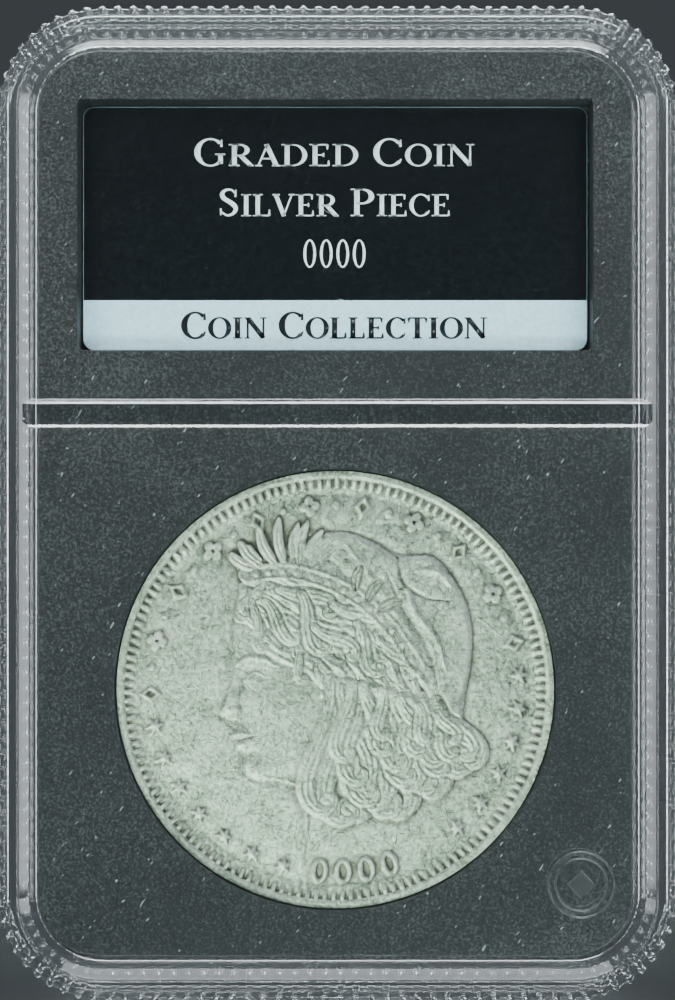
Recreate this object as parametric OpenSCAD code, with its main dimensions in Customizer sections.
// Graded coin slab: two clear beaded shells, a black core, a coin and two label cards.
// Row frame: +X right, +Z up, and the front faces -Y. The origin is the middle of the bottom edge.
// Modules draw in face coordinates: x right, y up, z out of the front face. on_edge() stands them up.

/* [Slab] */
// Width over the beads
slab_w = 58.7; // [56:0.1:62]
// Height over the beads
slab_h = 85.7; // [84:0.1:90]
// Thickness from the back stacking ridge to the top of the front rail
slab_t = 8; // [7.6:0.1:9]
// Corner radius over the beads
corner_r = 9; // [7:0.1:11]

/* [Beaded edge] */
// Distance from one bead to the next, and from one tongue post to the next
bead_pitch = 1.335; // [1.1:0.005:1.6]
// How far a bead stands out of the side wall
bead_h = 0.3; // [0.15:0.01:0.35]
// Width of a bead along the edge
bead_w = 0.66; // [0.4:0.02:1]

/* [Shells] */
// Thickness of both windows
window_t = 1.3; // [1:0.1:1.5]
// Depth of the front window below the rail
front_recess = 1; // [0.6:0.1:1.2]
// Height of the back stacking ridge
ridge_h = 0.8; // [0.4:0.1:0.9]
// Inset of the cavity from the bead crests
cavity_inset = 3.2; // [3.1:0.1:3.4]
// Height of the divider bar's lower edge above the slab's bottom
bar_z = 49.4; // [48.5:0.1:50.5]
// Height of the divider bar, from its lower to its upper edge
bar_h = 2.5; // [2:0.1:3]

/* [Core] */
// Thickness of the black core
core_t = 3.4; // [3:0.1:3.5]
// Inset of the core from the bead crests
core_inset = 3.55; // [3.5:0.05:3.7]
// Sideways play that the core has taken up in the cavity
core_shift = -0.2; // [-0.25:0.05:0.25]
// Width of the label pockets
pocket_w = 44.7; // [40:0.1:46]
// Height of the label pockets
pocket_h = 21.7; // [18:0.1:24]
// Height of the label pockets' centre above the slab's bottom
pocket_z = 67; // [66:0.1:68]
// Depth of the front label pocket
pocket_depth = 2.4; // [1.5:0.1:2.4]
// Depth of the back label pocket
back_pocket_depth = 0.45; // [0.35:0.05:0.5]

/* [Coin] */
// Coin diameter
coin_d = 38.1; // [37.5:0.1:38.3]
// Coin thickness over its rims
coin_t = 2.4; // [2:0.1:2.6]
// Height of the coin's centre above the slab's bottom
coin_z = 26.65; // [26:0.05:27.5]
// Radial clearance of the coin in its seat
seat_gap = 0.1; // [0.05:0.01:0.2]

/* [Hidden] */
$fn = 96;

overlap = 0.1;                 // how far a cut or a joined solid runs past its neighbour
part_gap = 0.02;               // half of the fine gap along the parting line

front_z = slab_t / 2;                       // top of the front rail
window_z = front_z - front_recess;          // outer face of the front window
cavity_front_z = window_z - window_t;       // inner face of the front window
back_z = -slab_t / 2;                       // top of the back stacking ridge
back_window_z = back_z + ridge_h;           // outer face of the back window
cavity_back_z = back_window_z + window_t;   // inner face of the back window

side_front_z = front_z - 0.7;  // front end of the beads
rail_inset = 1;                // outer side of the rail
rail_chamfer = 0.2;
rail_top_inset = 1.9;          // inner side of the rail's flat top
ledge_drop = 0.2;              // step from the rail's top to the ledge beside the slope
ledge_inset = 2;               // where the 45 degree slope starts
slope_foot = ledge_inset + front_recess - ledge_drop;

side_back_z = back_window_z + 0.3;  // back end of the beads
back_step = 0.35;              // the back window's plate is this much smaller than the bead crests
ridge_out = 3.1;               // outer side of the back stacking ridge
ridge_in = 4.4;                // inner side of the back stacking ridge
ridge_chamfer = 0.2;

tongue_inset = 2.9;            // outer side of the back shell's tongue, between its posts
post_h = 0.85;                 // half-round posts stand out of the tongue into the front shell's rebate
post_w = 0.88;
tongue_h = 1.1;
rebate_play = 0.06;

bar_rise = 0.5;                // the divider bar above the front window
mark_x = 21;                   // moulded ring mark on the front window
mark_z = 10;
mark_r = 2.9;
mark_line = 0.16;
mark_rise = 0.08;

core_middle = (cavity_front_z + cavity_back_z) / 2;
core_front_z = core_middle + core_t / 2;
core_back_z = core_middle - core_t / 2;
pocket_r = 0.4;

seat_lip = 0.5;                // ledge behind the coin
lip_w = 0.75;                  // how far that ledge reaches in under the coin's rim
coin_back_z = core_back_z + seat_lip;
coin_rim_w = 1.2;
coin_rim_h = 0.22;

card_w = pocket_w - 0.4;
card_h = pocket_h - 0.3;
card_r = 1;
card_t = 0.3;
back_card_t = 0.25;

module on_edge() translate([0, 0, slab_h / 2]) rotate([90, 0, 0]) children();

// Rounded rectangle, centred on the slab's face
module rounded(w, h, r) {
    square([w - 2 * r, h], center = true);
    square([w, h - 2 * r], center = true);
    for (x = [-1, 1], y = [-1, 1])
        translate([x * (w / 2 - r), y * (h / 2 - r)]) circle(r);
}

// The slab's outline moved inwards by an inset
module inset_outline(inset) rounded(slab_w - 2 * inset, slab_h - 2 * inset, corner_r - inset);

module slab_layer(inset, z0, z1) translate([0, 0, z0]) linear_extrude(z1 - z0) inset_outline(inset);

// Sweeps a profile round the slab: x is the inset and y the height out of the face
module sweep_profile(points) {
    straight_w = slab_w - 2 * corner_r;
    straight_h = slab_h - 2 * corner_r;
    turned = [for (p = points) [corner_r - p[0], p[1]]];
    for (side = [0:3]) rotate(90 * side) {
        along = side % 2 == 0 ? straight_h : straight_w;
        across = side % 2 == 0 ? straight_w : straight_h;
        translate([across / 2, along / 2, 0]) {
            rotate([90, 0, 0]) linear_extrude(along) polygon(turned);
            rotate_extrude(angle = 90) polygon(turned);
        }
    }
}

// The right half of the outline at an inset: top right corner, right side, lower right corner, bottom.
// The left half is the same turned by 180 degrees.
side_h = slab_h - 2 * corner_r;
side_w = slab_w - 2 * corner_r;
function corner_len(inset) = (corner_r - inset) * PI / 2;
function half_len(inset) = 2 * corner_len(inset) + side_h + side_w;

// Point and outward normal at a distance along that half
function outline_point(s, inset) = let (c = corner_len(inset))
    s < c ? corner_point(s, inset, 1) :
    s < c + side_h ? [[slab_w / 2 - inset, side_h / 2 - (s - c)], [1, 0]] :
    s < 2 * c + side_h ? corner_point(s - c - side_h, inset, -1) :
    [[side_w / 2 - (s - 2 * c - side_h), inset - slab_h / 2], [0, -1]];
function corner_point(s, inset, up) =
    let (r = corner_r - inset, turn = s / r * 180 / PI, a = up > 0 ? 90 - turn : -turn, n = [cos(a), sin(a)])
    [[side_w / 2, up * side_h / 2] + r * n, n];

// Outline with half-round ribs of a width and height, spread evenly round it
rib_steps = 4;
function ribbed_outline(inset, rib_w, rib_h) =
    let (count = round(half_len(inset) / bead_pitch), pitch = half_len(inset) / count,
         half = [for (i = [0:count - 1], k = [0:rib_steps])
             let (a = 180 * k / rib_steps, p = outline_point((i + 0.5) * pitch - rib_w / 2 * cos(a), inset))
             p[0] + rib_h * sin(a) * p[1]])
    concat(half, [for (p = half) -p]);

module ribbed_layer(z0, z1, inset, rib_w, rib_h)
    translate([0, 0, z0]) linear_extrude(z1 - z0) polygon(ribbed_outline(inset, rib_w, rib_h));

module beaded_layer(z0, z1) ribbed_layer(z0, z1, bead_h, bead_w, bead_h);

// Raised bar with 45 degree sides between the label and the coin
module divider_bar() {
    foot = window_z - overlap;
    span = slab_w - 2 * (slope_foot - bar_rise);
    translate([-span / 2, bar_z - slab_h / 2, 0]) rotate([90, 0, 90]) linear_extrude(span)
        polygon([[0, foot], [0, window_z], [bar_rise, window_z + bar_rise],
                 [bar_h - bar_rise, window_z + bar_rise], [bar_h, window_z], [bar_h, foot]]);
}

module ring(outer, inner, z0, z1) translate([0, 0, z0]) linear_extrude(z1 - z0) difference() {
    circle(outer);
    circle(inner);
}

// Two fine rings and a four-sided stud, moulded on the front window
module ring_mark() translate([mark_x, mark_z - slab_h / 2, 0]) {
    for (r = [mark_r, mark_r * 0.8])
        ring(r, r - mark_line, window_z - overlap, window_z + mark_rise);
    translate([0, 0, window_z - overlap]) rotate(45) linear_extrude(overlap + mark_rise)
        square(mark_r * 0.6, center = true);
}

module front_shell() color("lightcyan", 0.35) on_edge() {
    difference() {
        union() {
            beaded_layer(part_gap, side_front_z);
            slab_layer(rail_inset, side_front_z - overlap, front_z);
        }
        slab_layer(slope_foot, window_z, front_z + overlap);
        sweep_profile([[rail_top_inset, front_z + overlap], [rail_top_inset, front_z - ledge_drop],
                       [ledge_inset, front_z - ledge_drop], [slope_foot, window_z],
                       [slope_foot + overlap, window_z], [slope_foot + overlap, front_z + overlap]]);
        sweep_profile([[0, front_z - rail_chamfer], [rail_inset, front_z - rail_chamfer],
                       [rail_inset + rail_chamfer, front_z], [rail_inset + rail_chamfer, front_z + overlap],
                       [0, front_z + overlap]]);
        slab_layer(cavity_inset, -overlap, cavity_front_z);
        slab_layer(tongue_inset - post_h - rebate_play, -overlap, tongue_h + rebate_play);
    }
    divider_bar();
    ring_mark();
}

module back_shell() color("lightcyan", 0.35) on_edge() difference() {
    union() {
        beaded_layer(side_back_z, -part_gap);
        slab_layer(back_step, back_window_z, side_back_z + overlap);
        ribbed_layer(-overlap, tongue_h, tongue_inset, post_w, post_h);
        difference() {
            slab_layer(ridge_out, back_z, back_window_z + overlap);
            slab_layer(ridge_in, back_z - overlap, back_window_z + 2 * overlap);
        }
    }
    slab_layer(cavity_inset, cavity_back_z, tongue_h + overlap);
    sweep_profile([[ridge_out - overlap, back_z + ridge_chamfer], [ridge_out, back_z + ridge_chamfer],
                   [ridge_out + ridge_chamfer, back_z], [ridge_out + ridge_chamfer, back_z - overlap],
                   [ridge_out - overlap, back_z - overlap]]);
}

module pocket(depth_z0, depth_z1) translate([0, pocket_z - slab_h / 2, depth_z0])
    linear_extrude(depth_z1 - depth_z0) rounded(pocket_w, pocket_h, pocket_r);

module core() color("#2c2f30") on_edge() translate([core_shift, 0, 0]) difference() {
    slab_layer(core_inset, core_back_z, core_front_z);
    pocket(core_front_z - pocket_depth, core_front_z + overlap);
    pocket(core_back_z - overlap, core_back_z + back_pocket_depth);
    translate([0, coin_z - slab_h / 2, 0]) {
        translate([0, 0, core_back_z - overlap]) cylinder(r = coin_d / 2 - lip_w, h = core_t);
        translate([0, 0, coin_back_z]) cylinder(r = coin_d / 2 + seat_gap, h = core_t);
    }
}

// Coin blank with a raised rim on both faces
module coin() color("silver") on_edge() translate([core_shift, coin_z - slab_h / 2, coin_back_z]) difference() {
    cylinder(d = coin_d, h = coin_t);
    for (z = [coin_t - coin_rim_h, -overlap])
        translate([0, 0, z]) cylinder(r = coin_d / 2 - coin_rim_w, h = coin_rim_h + overlap);
}

module card(z, t) translate([core_shift, pocket_z - slab_h / 2, z])
    linear_extrude(t) rounded(card_w, card_h, card_r);

module front_label() color("#101416") on_edge() card(core_front_z - pocket_depth, card_t);

module back_label() color("white") on_edge() card(core_back_z + back_pocket_depth - back_card_t, back_card_t);

front_shell();
back_shell();
core();
coin();
front_label();
back_label();
